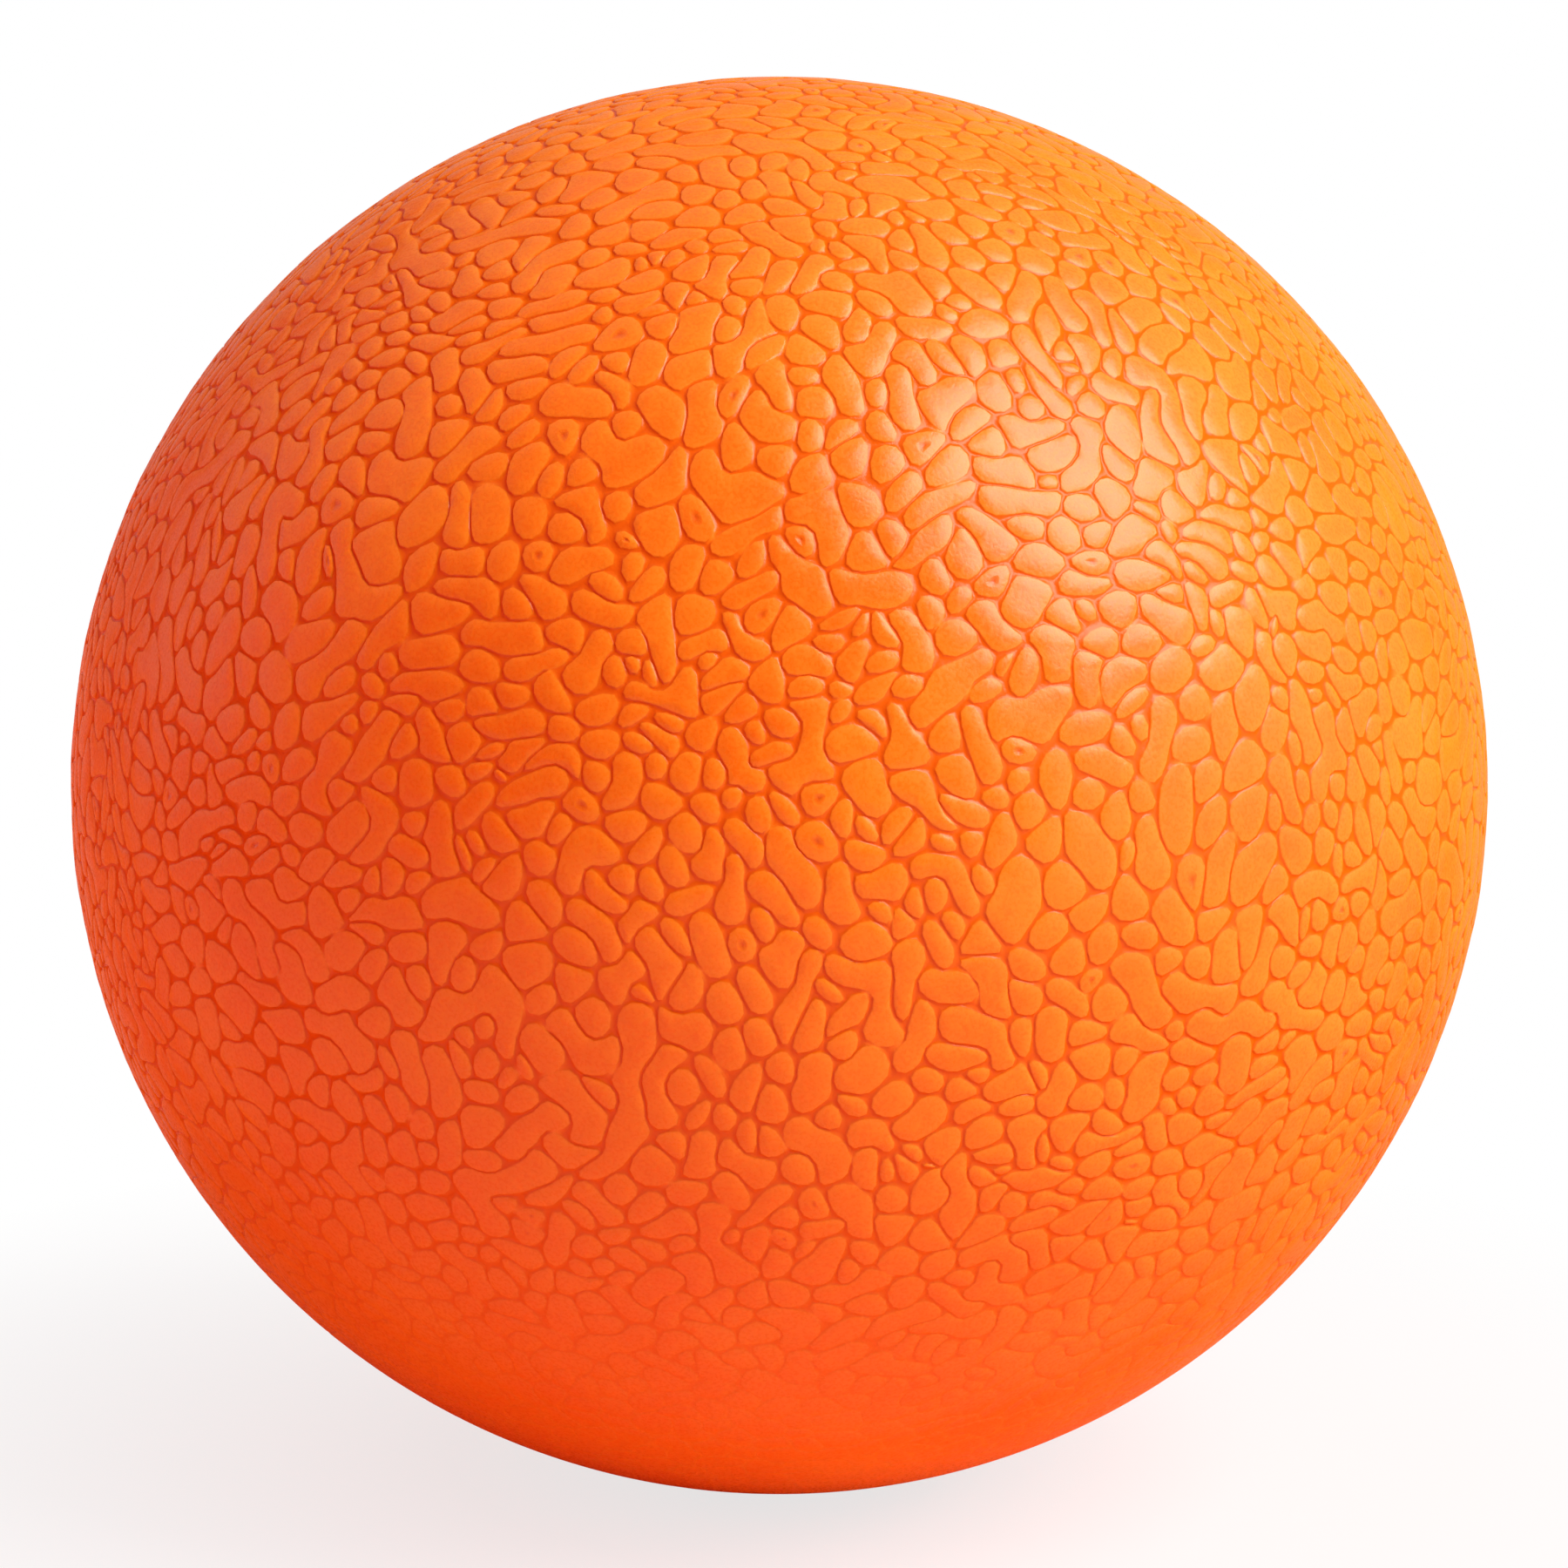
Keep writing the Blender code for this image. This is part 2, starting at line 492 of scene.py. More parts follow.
# %% [markdown]
# ## How deep the rings lie
#
# Every ring has its own depth below the ball's round outside. The tops rise and fall a little from place to
# place, and a few have a small pit, as on the real ball. Towards the underside the grain dies out, because
# there the mould left the ball almost smooth.

# %% Depth of every ring
GROOVE_DEPTH = 0.085 * MM
FOOT_DROP = 0.86  # share of the groove's depth at the foot of the wall
CROWN_DROP = 0.01 * MM  # a pebble's top falls this far from its middle to its edge
ROLL_WAVE, ROLL_HEIGHT = 4.0 * MM, 0.02 * MM  # slow rise and fall of the pebble tops
PITTED_SHARE = 0.06  # of the pebbles with one ground, which have a small pit in the middle of the top
FADE_LOW, FADE_HIGH = math.radians(20), math.radians(82)  # angles from the underside's pole
LEAST_RELIEF = 0.05


def relief(directions):
    """How deep the grain is, from 1 on the upper half of the ball to LEAST_RELIEF on the underside: a smooth
    step in the angle from the lower pole."""
    angle = np.arccos(np.clip(-directions[:, 2], -1, 1))
    step = np.clip((angle - FADE_LOW) / (FADE_HIGH - FADE_LOW), 0, 1)
    return LEAST_RELIEF + (1 - LEAST_RELIEF) * step * step * (3 - 2 * step)


skin_directions = np.concatenate([points, foot_ring, top_ring, crowns])
slot_groove = point_open[slot_point]
groove_drop = np.concatenate([
    GROOVE_DEPTH * point_open,
    FOOT_DROP * GROOVE_DEPTH * slot_groove,
    CROWN_DROP * slot_groove,
    np.zeros(SEED_COUNT),
])
roll_waves = new_waves(ROLL_WAVE)
roll = np.clip(roll_waves(skin_directions)[:, 0], -1, 1)
skin_relief = relief(skin_directions)
skin_drop = (groove_drop + ROLL_HEIGHT * (1 - roll)) * skin_relief
skin_points = BALL_CENTRE + skin_directions * (BALL_RADIUS - skin_drop)[:, None]
skin_points[:, 2] = np.maximum(skin_points[:, 2], 0)  # the floor presses the lowest points flat
skin_depth = np.clip(groove_drop / GROOVE_DEPTH, 0, 1) * skin_relief
skin_pit = np.zeros(len(skin_points))
single = ~np.isin(np.arange(SEED_COUNT), link_from[joined])
pitted = single & (rng.uniform(size=SEED_COUNT) < PITTED_SHARE)
skin_pit[-SEED_COUNT:] = pitted * skin_relief[-SEED_COUNT:]
print(f"{len(skin_points)} points on the grained skin")

# %% [markdown]
# ## Closing each half
#
# The two halves of the cover part along grooves, which is why no line shows on the real ball. A pebble
# belongs to the half that its seed lies in. From the ragged seam each half turns inwards: to the step of the
# lap joint, down the lip or the rebate, and round the bowl that holds the core. This inner side is a plain
# grid, with one column for each point of the seam and one row for each stop of the wall's profile.

# %% Helpers that build a half
FIT_GAP = 0.3 * MM
LAP_DEPTH = 3.0 * MM
BOWL_ROWS = 6
EVEN_SHARE = 0.15  # of evenly spaced angles in the wall's columns
CAVITY_RADIUS = CORE_RADIUS + FIT_GAP
LIP_RADIUS = CAVITY_RADIUS + (BALL_RADIUS - CAVITY_RADIUS - FIT_GAP) / 2


def skin_faces(seeds_in):
    """Quads between neighbouring rings and triangles from the top ring to the seeds' middles, for the chosen
    seeds. At each joined link one more triangle bridges the two middles."""
    chosen = slot_number[seeds_in[slot_seed]]
    after = next_slot[chosen]
    first_foot = point_count
    first_top = first_foot + slot_count
    first_crown = first_top + slot_count
    rows = [
        (slot_point[chosen], slot_point[after]),
        (first_foot + chosen, first_foot + after),
        (first_top + chosen, first_top + after),
    ]
    quads = [
        np.stack([outer[0], outer[1], inner[1], inner[0]], axis=1) for outer, inner in zip(rows, rows[1:])
    ]
    fans = np.stack([*rows[2], first_crown + slot_seed[chosen]], axis=1)
    bridges = link_number[joined & seeds_in[link_from]]
    neck = first_top + first_slot[landing[bridges]]
    bridge_faces = np.stack([neck, first_crown + link_to[bridges], first_crown + link_from[bridges]], axis=1)
    return np.concatenate(quads), np.concatenate([fans, bridge_faces])


def seam_loop(seeds_in):
    """Groove points of the seam in order. Each seam point knows the one after it; a chain that is copied on
    by its own length, again and again, soon holds them all."""
    on_seam = seeds_in[slot_seed] & ~seeds_in[link_to[slot_link]]
    here = slot_point[on_seam]
    there = slot_point[next_slot[on_seam]]
    by_point = np.argsort(here)
    jump = by_point[np.searchsorted(here, there, sorter=by_point)]
    chain = np.array([0])
    while len(chain) < len(here):
        chain = np.concatenate([chain, jump[chain]])
        jump = jump[jump]
    return here[chain[: len(here)]]


def wall_stops(side):
    """Wall profile from the seam to the bowl's pole, as (distance from the axis, height above the centre):
    in to the lap joint's step, along the lip or rebate, then an arc of the cavity towards the pole."""
    step_radius = LIP_RADIUS if side > 0 else LIP_RADIUS + FIT_GAP
    lap_end = -LAP_DEPTH if side > 0 else -LAP_DEPTH - FIT_GAP
    lap = np.array([[step_radius, side * FIT_GAP / 2], [step_radius, lap_end]])
    widest = math.acos(side * lap_end / CAVITY_RADIUS)
    angles = np.linspace(widest, 0, BOWL_ROWS, endpoint=False)
    arc = np.stack([np.sin(angles), side * np.cos(angles)], axis=1) * CAVITY_RADIUS
    return np.concatenate([lap, arc])


def steady_angles(seam, side):
    """Angle of each seam point round the upright axis, made to grow without ever turning back: the largest
    angle so far, mixed with evenly spaced angles."""
    angles = np.unwrap(np.arctan2(points[seam, 1], points[seam, 0])) * side
    angles = np.clip(angles, angles[0], angles[0] + 2 * math.pi)
    even = angles[0] + 2 * math.pi * np.arange(len(seam)) / len(seam)
    mixed = (1 - EVEN_SHARE) * np.maximum.accumulate(angles) + EVEN_SHARE * even
    return mixed * side


def inner_wall(seam, side, first_number):
    """Grid of the wall's stops turned round the axis, joined to the seam in its first row and closed by a fan
    at the pole. first_number is the number of the grid's first new point."""
    stops = wall_stops(side)
    angles = steady_angles(seam, side)
    turned = np.stack([np.cos(angles), np.sin(angles)], axis=1)
    flat = stops[:, 0, None, None] * turned[None]
    height = np.broadcast_to(stops[:, 1, None, None], (len(stops), len(seam), 1))
    places = np.concatenate([flat, height], axis=2).reshape(-1, 3) + BALL_CENTRE
    pole = BALL_CENTRE + np.array([[0, 0, side * CAVITY_RADIUS]])
    numbers = first_number + np.arange(len(stops) * len(seam)).reshape(len(stops), len(seam))
    rows = np.concatenate([seam[None], numbers])
    after = np.roll(rows, -1, axis=1)
    quads = np.stack([after[:-1], rows[:-1], rows[1:], after[1:]], axis=2).reshape(-1, 4)
    pole_number = np.full(len(seam), first_number + numbers.size)
    fan = np.stack([after[-1], rows[-1], pole_number], axis=1)
    return np.concatenate([places, pole]), quads, fan


# %% [markdown]
# ## Keeping the tops flat
#
# A smooth surface is shaded with one normal for each corner. Blender's own normals weigh all faces round a
# point nearly alike, which makes flat pebbles look like pillows. Weighing each face by its area leaves the
# wide tops flat and keeps the bend in the narrow walls. Skin and inner wall have normals of their own, so the
# edge at the seam stays sharp.

# %% Build the two grained halves
def corner_normals(places, *face_lists):
    """For every corner of the faces the mean normal of the faces round its point, each weighted by its area.
    The crosswise product of a face's diagonals is its normal times twice its area; for a triangle two of its
    sides do the same."""
    total = np.zeros_like(places)
    for faces in face_lists:
        corners = places[faces]
        areas = np.cross(corners[:, 2] - corners[:, 0], corners[:, -1] - corners[:, 1])
        np.add.at(total, faces.ravel(), np.repeat(areas, faces.shape[1], axis=0))
    return np.concatenate([unit_or_zero(total[faces.ravel()]) for faces in face_lists])


def mesh_object(title, places, face_lists, normals):
    """An object of these faces, with unused points dropped, and with one normal for each corner."""
    used, corners = np.unique(np.concatenate([faces.ravel() for faces in face_lists]), return_inverse=True)
    sizes = np.concatenate([np.full(len(faces), faces.shape[1]) for faces in face_lists])
    mesh = bpy.data.meshes.new(title)
    mesh.vertices.add(len(used))
    mesh.vertices.foreach_set("co", places[used].ravel())
    mesh.loops.add(len(corners))
    mesh.loops.foreach_set("vertex_index", corners.astype(np.int32))
    mesh.polygons.add(len(sizes))
    mesh.polygons.foreach_set("loop_start", (np.cumsum(sizes) - sizes).astype(np.int32))
    mesh.update(calc_edges=True)
    mesh.shade_smooth()
    mesh.normals_split_custom_set(normals)
    for name, skin_values in (("groove", skin_depth), ("pit", skin_pit)):
        values = np.zeros(len(places))
        values[: len(skin_values)] = skin_values
        mesh.attributes.new(name, "FLOAT", "POINT").data.foreach_set("value", values[used])
    obj = bpy.data.objects.new(title, mesh)
    bpy.context.scene.collection.objects.link(obj)
    return obj


def grained_half(name, node, side):
    """One half of the cover: the skin of its own pebbles, and the wall that closes it on the inside."""
    seeds_in = seeds[:, 2] * side > 0
    skin = skin_faces(seeds_in)
    wall_places, *wall = inner_wall(seam_loop(seeds_in), side, len(skin_points))
    places = np.concatenate([skin_points, wall_places])
    normals = np.concatenate([corner_normals(places, *skin), corner_normals(places, *wall)])
    half = mesh_object(name, places, [*skin, *wall], normals)
    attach(half, "root")
    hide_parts(node)
    count = sum(len(polygon.vertices) - 2 for polygon in half.data.polygons)
    print(f"{name}: {count} triangles")
    return half


upper_half = grained_half("grained_upper_cover", "upper_cover", 1)
lower_half = grained_half("grained_lower_cover", "lower_cover", -1)

# %% [markdown]
# ## The rubber of the cover
#
# The cover is a saturated orange thermoplastic rubber with a satin surface. In the grooves, light bounces
# from wall to wall and the shade looks deeper; that shade is painted into the colour, as a darker, redder
# colour in the grooves and pits. The tops are a little matt, with specks too small to model, and their edges
# carry a painted pale sheen. The groove depth was stored on every point, as 0 on a top and 1 in the middle
# of a groove, so colour, roughness and gloss can follow the relief exactly.

# %% Helpers that join shader nodes
def new_material(name):
    """A node material, its node tree and its Principled shader."""
    material = bpy.data.materials.new(name)
    material.use_nodes = True
    tree = material.node_tree
    return material, tree, tree.nodes["Principled BSDF"]


def noise(tree, scale, detail):
    """Noise on Object coordinates. scale is in features per metre."""
    where = tree.nodes.new("ShaderNodeTexCoord")
    texture = tree.nodes.new("ShaderNodeTexNoise")
    texture.inputs["Scale"].default_value = scale
    texture.inputs["Detail"].default_value = detail
    tree.links.new(where.outputs["Object"], texture.inputs["Vector"])
    return texture.outputs["Fac"]


def ranged(tree, value, low, high, new_low, new_high):
    """value moved from one range to another, and kept inside it."""
    node = tree.nodes.new("ShaderNodeMapRange")
    for name, number in zip(("From Min", "From Max", "To Min", "To Max"), (low, high, new_low, new_high)):
        node.inputs[name].default_value = number
    tree.links.new(value, node.inputs["Value"])
    return node.outputs["Result"]


def mixed_colour(tree, share, first, second):
    """Colour between first and second. Each is a colour or another node's output."""
    node = tree.nodes.new("ShaderNodeMix")
    node.data_type = "RGBA"
    tree.links.new(share, node.inputs["Factor"])
    for name, colour in (("A", first), ("B", second)):
        socket = next(s for s in node.inputs if s.name == name and s.type == "RGBA")
        if isinstance(colour, tuple):
            socket.default_value = colour
        else:
            tree.links.new(colour, socket)
    return next(s for s in node.outputs if s.type == "RGBA")


def mixed_value(tree, share, first, second):
    """Number between first and second, which are other nodes' outputs."""
    node = tree.nodes.new("ShaderNodeMix")
    sockets = [socket for socket in node.inputs if socket.type == "VALUE"]
    for socket, value in zip(sockets, (share, first, second)):
        tree.links.new(value, socket)
    return node.outputs[0]


def combined(tree, operation, first, second):
    """Result of a Math node on two other nodes' outputs."""
    node = tree.nodes.new("ShaderNodeMath")
    node.operation = operation
    tree.links.new(first, node.inputs[0])
    tree.links.new(second, node.inputs[1])
    return node.outputs["Value"]


def attribute(tree, name):
    """Numbers that were stored on the points of the mesh."""
    node = tree.nodes.new("ShaderNodeAttribute")
    node.attribute_name = name
    return node.outputs["Fac"]


def bumped(tree, height, distance, strength, normal=None):
    """Bump node that raises the surface by a height, on top of another bump's normal if there is one."""
    node = tree.nodes.new("ShaderNodeBump")
    node.inputs["Distance"].default_value = distance
    node.inputs["Strength"].default_value = strength
    tree.links.new(height, node.inputs["Height"])
    if normal:
        tree.links.new(normal, node.inputs["Normal"])
    return node


# %% Cover material
TOP_COLOUR = (0.92, 0.2, 0.005, 1)
TOP_COLOUR_PALE = (0.95, 0.3, 0.012, 1)
# painted sheen: the pale band along each top's edge stands in for light caught at the rim
RIM_SHEEN_COLOUR = (0.96, 0.32, 0.02, 1)
# painted shade: the darker, redder groove colour stands in for the shade and bounced light in the grooves
GROOVE_SHADE_COLOUR = (0.81, 0.148, 0.003, 1)
# painted shade: the darker pit colour stands in for the shade inside each pit
PIT_SHADE_COLOUR = (0.76, 0.13, 0.003, 1)
PATCHES, MOTTLE, SPECKS = (160, 3), (2200, 2), (6500, 3)  # noises: features per metre, and detail
NOISE_SPAN = 0.35, 0.65  # most values of a noise lie between these
RIM_START, RIM_END = (0.06, 0.12), (0.2, 0.45)  # groove depths over which the rim comes in and goes
RIM_SHARE = 0.5
COLOUR_SPAN, GLOSS_SPAN = (0.35, 0.95), (0.3, 0.9)  # depths over which colour and gloss turn to the groove's
PIT_SPAN = 0.62, 0.95  # a pit deepens between these shares of the way from edge to middle
PIT_DEPTH = 0.04 * MM
SPECK_HEIGHT, SPECK_STRENGTH = 0.02 * MM, 0.6
TOP_ROUGHNESS, GROOVE_ROUGHNESS = (0.24, 0.34), (0.18, 0.26)
TOP_GLOSS, GROOVE_GLOSS = 0.45, 0.32  # specular levels
SLANTED_GLOSS = 0.015  # seen at a slant, the fine roughness of rubber hides most of its gloss
TOP_SLANT = 0.32, 0.66  # the gloss goes between these shares of a full slant
GROOVE_SLANT = 0.18, 0.34  # it goes sooner in the grooves, which their walls soon hide


def cover_colour(tree, depth, pit_depth, specks):
    """Mottled orange tops with a painted pale sheen on their rims, and painted shade as deeper orange in the
    grooves and pits.
    """
    mottle = mixed_value(tree, noise(tree, *MOTTLE), noise(tree, *PATCHES), specks)
    tops = mixed_colour(tree, ranged(tree, mottle, *NOISE_SPAN, 0, 1), TOP_COLOUR, TOP_COLOUR_PALE)
    # painted sheen along the edge of each top
    coming = ranged(tree, depth, *RIM_START, 0, RIM_SHARE)
    going = ranged(tree, depth, *RIM_END, 1, 0)
    tops = mixed_colour(tree, combined(tree, "MULTIPLY", coming, going), tops, RIM_SHEEN_COLOUR)
    # painted shade, deepening with the groove depth
    colour = mixed_colour(tree, ranged(tree, depth, *COLOUR_SPAN, 0, 1), tops, GROOVE_SHADE_COLOUR)
    # painted shade in the pits
    return mixed_colour(tree, pit_depth, colour, PIT_SHADE_COLOUR)


def cover_gloss(tree, depth):
    """Specular level: the tops' or the grooves', and hardly any where the surface is seen at a slant."""
    slant = tree.nodes.new("ShaderNodeLayerWeight").outputs["Facing"]
    top_gloss = ranged(tree, slant, *TOP_SLANT, TOP_GLOSS, SLANTED_GLOSS)
    groove_gloss = ranged(tree, slant, *GROOVE_SLANT, GROOVE_GLOSS, SLANTED_GLOSS)
    return mixed_value(tree, ranged(tree, depth, *GLOSS_SPAN, 0, 1), top_gloss, groove_gloss)


def cover_rubber():
    """Orange rubber whose colour, roughness and gloss follow the groove depth. A fine noise makes the specks,
    and a bump makes the pits."""
    material, tree, shader = new_material("cover_rubber_grained")
    depth = attribute(tree, "groove")
    pit_depth = ranged(tree, attribute(tree, "pit"), *PIT_SPAN, 0, 1)
    specks = noise(tree, *SPECKS)
    tree.links.new(cover_colour(tree, depth, pit_depth, specks), shader.inputs["Base Color"])
    top_roughness = ranged(tree, specks, *NOISE_SPAN, *TOP_ROUGHNESS)
    groove_roughness = ranged(tree, specks, *NOISE_SPAN, *GROOVE_ROUGHNESS)
    roughness = mixed_value(tree, depth, top_roughness, groove_roughness)
    tree.links.new(roughness, shader.inputs["Roughness"])
    speck_bump = bumped(tree, specks, SPECK_HEIGHT, SPECK_STRENGTH)
    pit_bump = bumped(tree, pit_depth, PIT_DEPTH, 1, speck_bump.outputs["Normal"])
    pit_bump.invert = True
    tree.links.new(pit_bump.outputs["Normal"], shader.inputs["Normal"])
    shader.inputs["Specular IOR Level"].default_value = TOP_GLOSS  # for programs that read no nodes
    tree.links.new(cover_gloss(tree, depth), shader.inputs["Specular IOR Level"])
    return material


cover_finish = cover_rubber()
upper_half.data.materials.append(cover_finish)
lower_half.data.materials.append(cover_finish)

# %% [markdown]
# ## The rubber of the core
#
# The core never shows, but it comes out when the part is taken apart. It is moulded from a dull brown-grey
# rubber, whose colour and gloss wander a little as in any mix of regrind.

# %% Core material
CORE_DARK = (0.12, 0.09, 0.075, 1)
CORE_PALE = (0.2, 0.15, 0.125, 1)
CORE_CLOUDS, CORE_GRAIN = (220, 5), (2500, 3)  # noises: features per metre, and detail
CLOUD_SPAN = 0.2, 0.8
CORE_ROUGHNESS = 0.6, 0.8
CORE_GRAIN_HEIGHT, CORE_GRAIN_STRENGTH = 0.05 * MM, 0.3


def core_rubber():
    """Dull rubber: one noise mixes two browns and sets the roughness, a finer one raises the surface."""
    material, tree, shader = new_material("core_rubber_dull")
    cloud = noise(tree, *CORE_CLOUDS)
    tree.links.new(mixed_colour(tree, cloud, CORE_DARK, CORE_PALE), shader.inputs["Base Color"])
    tree.links.new(ranged(tree, cloud, *CLOUD_SPAN, *CORE_ROUGHNESS), shader.inputs["Roughness"])
    grain = bumped(tree, noise(tree, *CORE_GRAIN), CORE_GRAIN_HEIGHT, CORE_GRAIN_STRENGTH)
    tree.links.new(grain.outputs["Normal"], shader.inputs["Normal"])
    return material


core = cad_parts["core"]
core_finish = core_rubber()
core.data.materials.clear()
core.data.materials.append(core_finish)
print("finishes:", cover_finish.name, "and", core_finish.name)

# %% [markdown]
# ## Camera
#
# The photograph looks at the ball from a little above its middle, with a long lens. A sphere fills the same
# circle from every side, so the distance follows from the circle's share of the picture: its radius in the
# picture, over the lens, gives the half angle that the ball must fill.

# %% Place the camera
PICTURE = 1800  # pixels along each side
CIRCLE_RADIUS = 814  # pixels
CIRCLE_MIDDLE = (894.5, 901.3)  # pixels from the upper left corner
CAMERA_HEIGHT = math.radians(10)
LENS, SENSOR = 100.0, 36.0  # millimetres
CLIP_START = 10 * MM

half_angle = math.atan(CIRCLE_RADIUS / PICTURE * SENSOR / LENS)
distance = BALL_RADIUS / math.sin(half_angle)
to_camera = Vector((0, -math.cos(CAMERA_HEIGHT), math.sin(CAMERA_HEIGHT)))
camera_up = Vector((0, math.sin(CAMERA_HEIGHT), math.cos(CAMERA_HEIGHT)))
camera_right = Vector((1, 0, 0))

camera_data = bpy.data.cameras.new("camera")
camera_data.lens = LENS
camera_data.sensor_width = SENSOR
camera_data.clip_start = CLIP_START
camera_data.shift_x = (PICTURE / 2 - CIRCLE_MIDDLE[0]) / PICTURE
camera_data.shift_y = (CIRCLE_MIDDLE[1] - PICTURE / 2) / PICTURE
camera = bpy.data.objects.new("camera", camera_data)
bpy.context.scene.collection.objects.link(camera)
camera.location = Vector(BALL_CENTRE) + to_camera * distance
camera.rotation_euler = (-to_camera).to_track_quat("-Z", "Y").to_euler()
bpy.context.scene.camera = camera
print(f"camera {distance / MM:.0f} mm from the ball's centre")

# %% [markdown]
# ## Studio light
#
# One softbox stands high on the right and a little in front: it makes the soft pale glint on the upper
# right. A wide panel lower down lights the whole right side, and a weak panel behind edges the left side.
# In the photo the shade is redder than white light makes it, perhaps because light passes through the rubber.
# The finish lets none through, so the panel that fills the shade from the left is red, and to all rays but
# the camera's the floor is redder too. The camera sees floor and world as plain white paper, apart from the
# ball's shadow. The ball mirrors both dimmer than that, and the room behind the camera almost dark.

# %% Lights
KEY_DIRECTION = camera_right * 0.63 + camera_up * 0.675 + to_camera * 0.385
KEY_DISTANCE, KEY_SIZE, KEY_POWER = 2.0, 1.5, 51.0  # metres, metres and watts, as for every lamp
KEY_COLOUR = (1.0, 0.91, 0.87)
FILL_DIRECTION = camera_right * -0.8 + camera_up * 0.45 + to_camera * 0.5
FILL_DISTANCE, FILL_SIZE, FILL_POWER = 2.0, 3.0, 24.0
FILL_COLOUR = (1.0, 0.05, 0.03)
EDGE_DIRECTION = camera_right * -0.85 + camera_up * 0.1 - to_camera * 0.55
EDGE_DISTANCE, EDGE_SIZE, EDGE_POWER = 2.0, 1.6, 15.0
EDGE_COLOUR = (1.0, 0.9, 0.85)
SIDE_DIRECTION = camera_right * 0.95 + camera_up * 0.02 + to_camera * 0.31
SIDE_DISTANCE, SIDE_SIZE, SIDE_POWER = 2.5, 3.0, 60.0
SIDE_COLOUR = (1.0, 0.91, 0.87)


def softbox(name, direction, reach, size, power, colour):
    """A square lamp that faces the ball's centre."""
    data = bpy.data.lights.new(name, "AREA")
    data.shape = "SQUARE"
    data.size = size
    data.energy = power
    data.color = colour
    lamp = bpy.data.objects.new(name, data)
    bpy.context.scene.collection.objects.link(lamp)
    lamp.location = Vector(BALL_CENTRE) + direction.normalized() * reach
    lamp.rotation_euler = direction.to_track_quat("Z", "Y").to_euler()
    return lamp


softbox("key_softbox", KEY_DIRECTION, KEY_DISTANCE, KEY_SIZE, KEY_POWER, KEY_COLOUR)
softbox("fill_panel", FILL_DIRECTION, FILL_DISTANCE, FILL_SIZE, FILL_POWER, FILL_COLOUR)
side_panel = softbox("side_panel", SIDE_DIRECTION, SIDE_DISTANCE, SIDE_SIZE, SIDE_POWER, SIDE_COLOUR)
edge_panel = softbox("edge_panel", EDGE_DIRECTION, EDGE_DISTANCE, EDGE_SIZE, EDGE_POWER, EDGE_COLOUR)
side_panel.visible_glossy = False  # the photo shows no glint of these two
edge_panel.visible_glossy = False

# %% Floor and world
WORLD_STRENGTH = 0.03
PAPER_DARK, PAPER_PALE = (0.82, 0.82, 0.82, 1), (0.86, 0.86, 0.86, 1)
PAPER_LIT = (0.9, 0.4, 0.33, 1)  # the paper to all rays but the camera's
PAPER_FIBRES = 40, 4  # noise: features per metre, and detail
PAPER_ROUGHNESS, PAPER_GLOSS = 0.9, 0.1
FLOOR_SHOWN_NEAR, FLOOR_SHOWN_FAR = 0.75, 1.0  # shares of plain white in what the camera sees of the floor
FLOOR_MIRRORED_NEAR, FLOOR_MIRRORED_FAR = 0.0, 0.2  # and in what the ball mirrors of it
FLOOR_FADE_START, FLOOR_FADE_END = 15 * MM, 60 * MM  # near and far, from the ball's resting point
ROOM_MIRRORED_NEAR, ROOM_MIRRORED_FAR = 0.01, 0.62  # and of the room behind the camera, and opposite it
ROOM_SPAN = -0.2, 0.6  # cosines of the angle to the camera between which the room grows dark
FLOOR_SIZE = 12.0
FLOOR_DROP = 0.05 * MM


def ray_kinds(tree):
    """Two outputs: 1 for rays from the camera, and 1 for rays by way of a mirror-like or clear surface."""
    path = tree.nodes.new("ShaderNodeLightPath")
    mirrored = combined(tree, "MAXIMUM", path.outputs["Is Glossy Ray"], path.outputs["Is Transmission Ray"])
    return path.outputs["Is Camera Ray"], mirrored


def mixed_shader(tree, share, first, second):
    """Shader between first and second."""
    mix = tree.nodes.new("ShaderNodeMixShader")
    tree.links.new(share, mix.inputs["Fac"])
    tree.links.new(first, mix.inputs[1])
    tree.links.new(second, mix.inputs[2])
    return mix.outputs["Shader"]


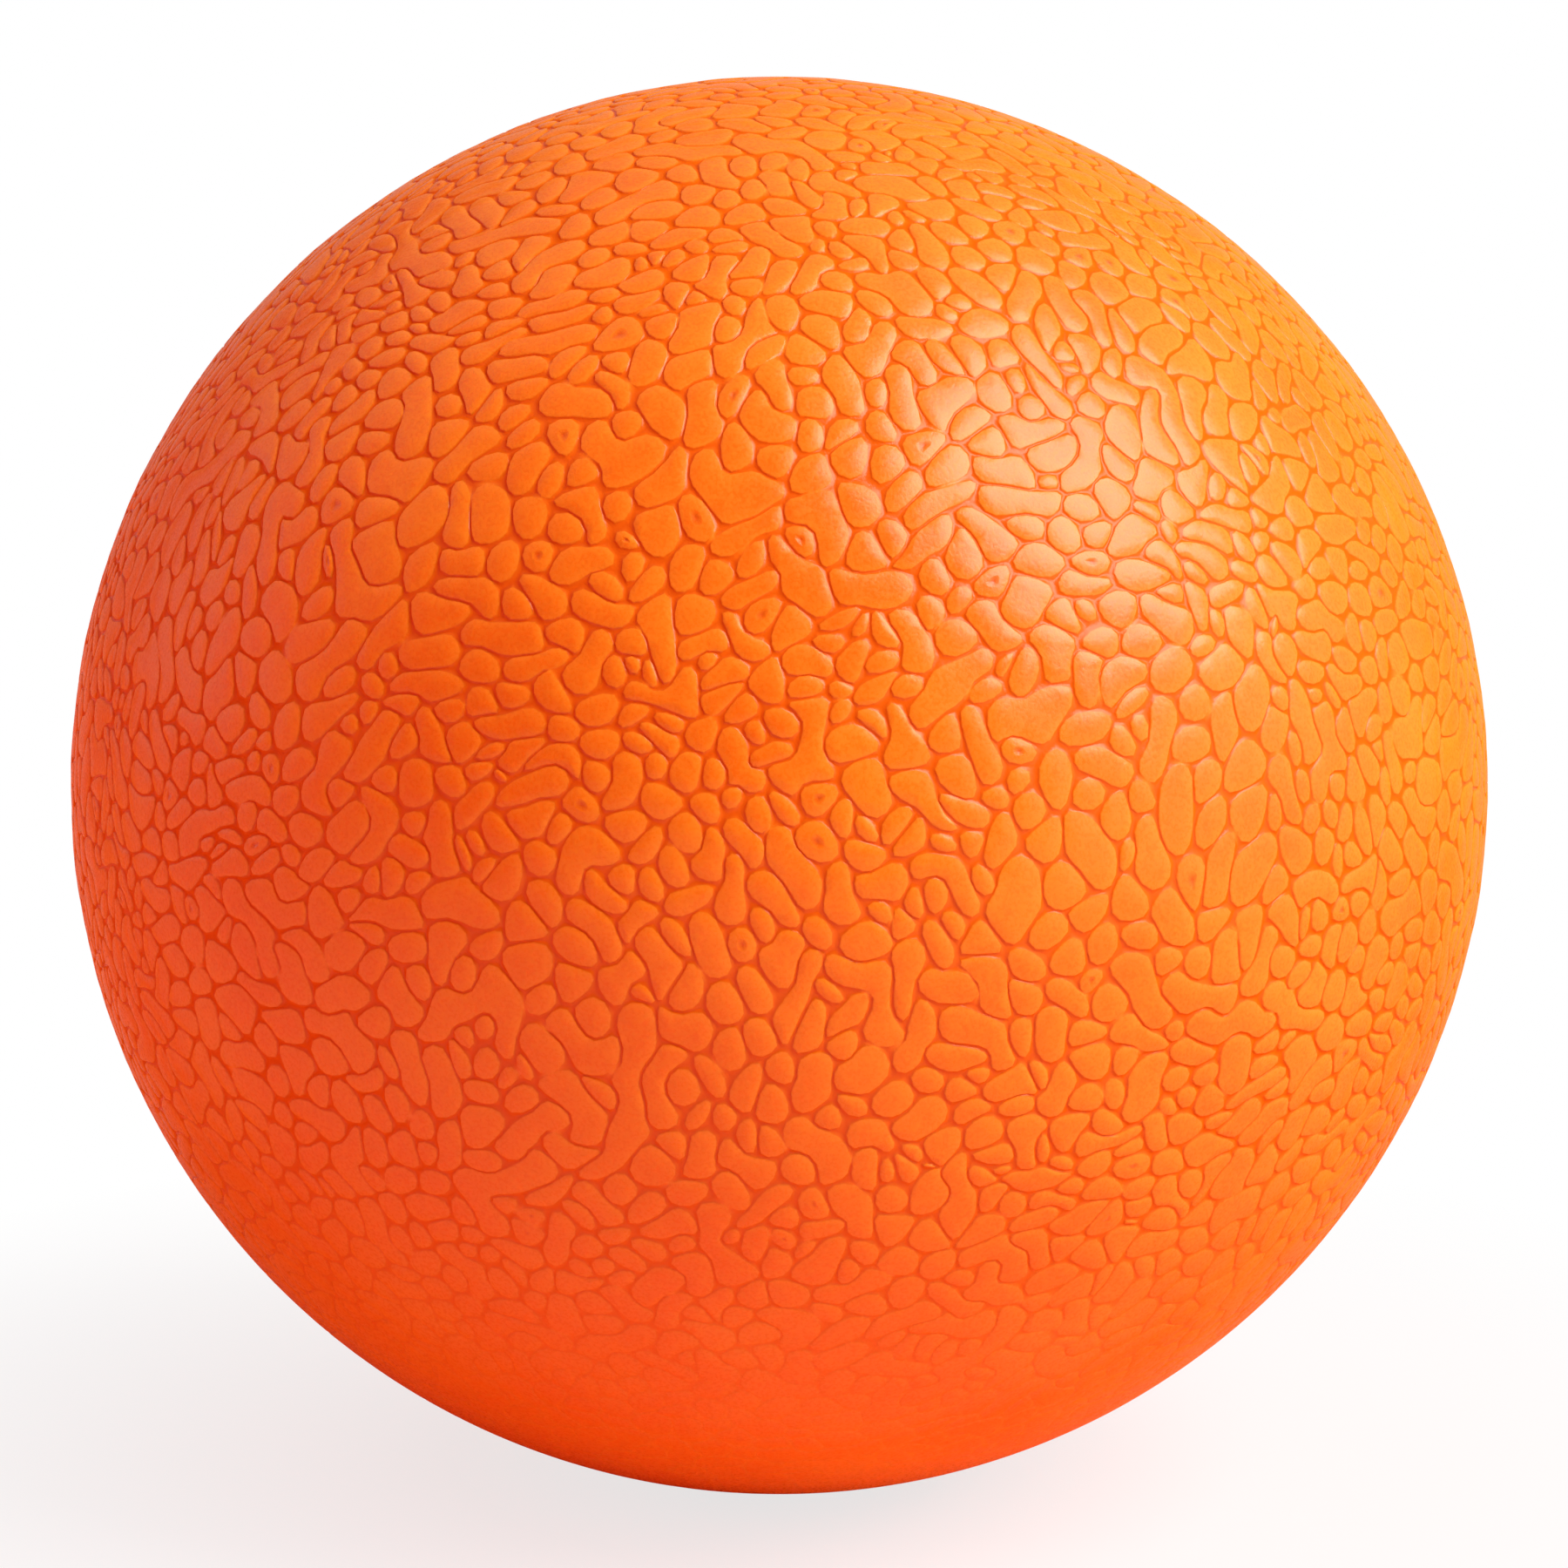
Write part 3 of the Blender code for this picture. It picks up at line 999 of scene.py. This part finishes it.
def paper_floor():
    """Pale paper that shows the ball's shadow near the ball and runs out into plain white. To all rays but
    the camera's the paper is redder, and mirror-like rays see less of the white."""
    material, tree, shader = new_material("paper_floor")
    shown, mirrored = ray_kinds(tree)
    paper = mixed_colour(tree, noise(tree, *PAPER_FIBRES), PAPER_DARK, PAPER_PALE)
    tree.links.new(mixed_colour(tree, shown, PAPER_LIT, paper), shader.inputs["Base Color"])
    shader.inputs["Roughness"].default_value = PAPER_ROUGHNESS
    shader.inputs["Specular IOR Level"].default_value = PAPER_GLOSS
    where = tree.nodes.new("ShaderNodeTexCoord")
    reach = tree.nodes.new("ShaderNodeVectorMath")
    reach.operation = "LENGTH"
    tree.links.new(where.outputs["Object"], reach.inputs[0])
    fade = (tree, reach.outputs["Value"], FLOOR_FADE_START, FLOOR_FADE_END)
    shown_white = ranged(*fade, FLOOR_SHOWN_NEAR, FLOOR_SHOWN_FAR)
    mirrored_white = ranged(*fade, FLOOR_MIRRORED_NEAR, FLOOR_MIRRORED_FAR)
    shown_share = combined(tree, "MULTIPLY", shown, shown_white)
    mirrored_share = combined(tree, "MULTIPLY", mirrored, mirrored_white)
    white_share = combined(tree, "MAXIMUM", shown_share, mirrored_share)
    white = tree.nodes.new("ShaderNodeEmission")
    surface = mixed_shader(tree, white_share, shader.outputs["BSDF"], white.outputs["Emission"])
    tree.links.new(surface, tree.nodes["Material Output"].inputs["Surface"])
    return material


def floor_sheet():
    """One large square just under the ball."""
    half = FLOOR_SIZE / 2
    corners = np.array([[-half, -half], [half, -half], [half, half], [-half, half]])
    places = np.column_stack([corners, np.full(4, -FLOOR_DROP)])
    mesh = bpy.data.meshes.new("floor")
    mesh.from_pydata(places, [], [(0, 1, 2, 3)])
    mesh.materials.append(paper_floor())
    floor = bpy.data.objects.new("floor", mesh)
    bpy.context.scene.collection.objects.link(floor)


def studio_world():
    """White to the camera, dimmer to mirror-like rays, almost dark where they reach the room behind the
    camera, and a weak white for the light that the world sheds."""
    world = bpy.data.worlds.new("studio")
    world.use_nodes = True
    tree = world.node_tree
    shed = tree.nodes["Background"]
    shed.inputs["Color"].default_value = (1, 1, 1, 1)
    shed.inputs["Strength"].default_value = WORLD_STRENGTH
    white = tree.nodes.new("ShaderNodeBackground")
    white.inputs["Color"].default_value = (1, 1, 1, 1)
    where = tree.nodes.new("ShaderNodeTexCoord")
    towards_camera = tree.nodes.new("ShaderNodeVectorMath")
    towards_camera.operation = "DOT_PRODUCT"
    towards_camera.inputs[1].default_value = to_camera
    tree.links.new(where.outputs["Generated"], towards_camera.inputs[0])
    shown, mirrored = ray_kinds(tree)
    facing = towards_camera.outputs["Value"]
    room = ranged(tree, facing, *ROOM_SPAN, ROOM_MIRRORED_FAR, ROOM_MIRRORED_NEAR)
    white_share = combined(tree, "MAXIMUM", shown, combined(tree, "MULTIPLY", mirrored, room))
    surface = mixed_shader(tree, white_share, shed.outputs["Background"], white.outputs["Background"])
    tree.links.new(surface, tree.nodes["World Output"].inputs["Surface"])
    bpy.context.scene.world = world


floor_sheet()
studio_world()
bpy.context.scene.view_settings.view_transform = "Standard"
print(f"floor {FLOOR_SIZE:.0f} m wide, {FLOOR_DROP / MM:.2f} mm below the ball")

# %% [markdown]
# ## Print the imported box
#
# The grained ball must fit the imported one, so the imported ball's box is printed.

# %% Print the imported ball's box
print("CAD box", cad_box)
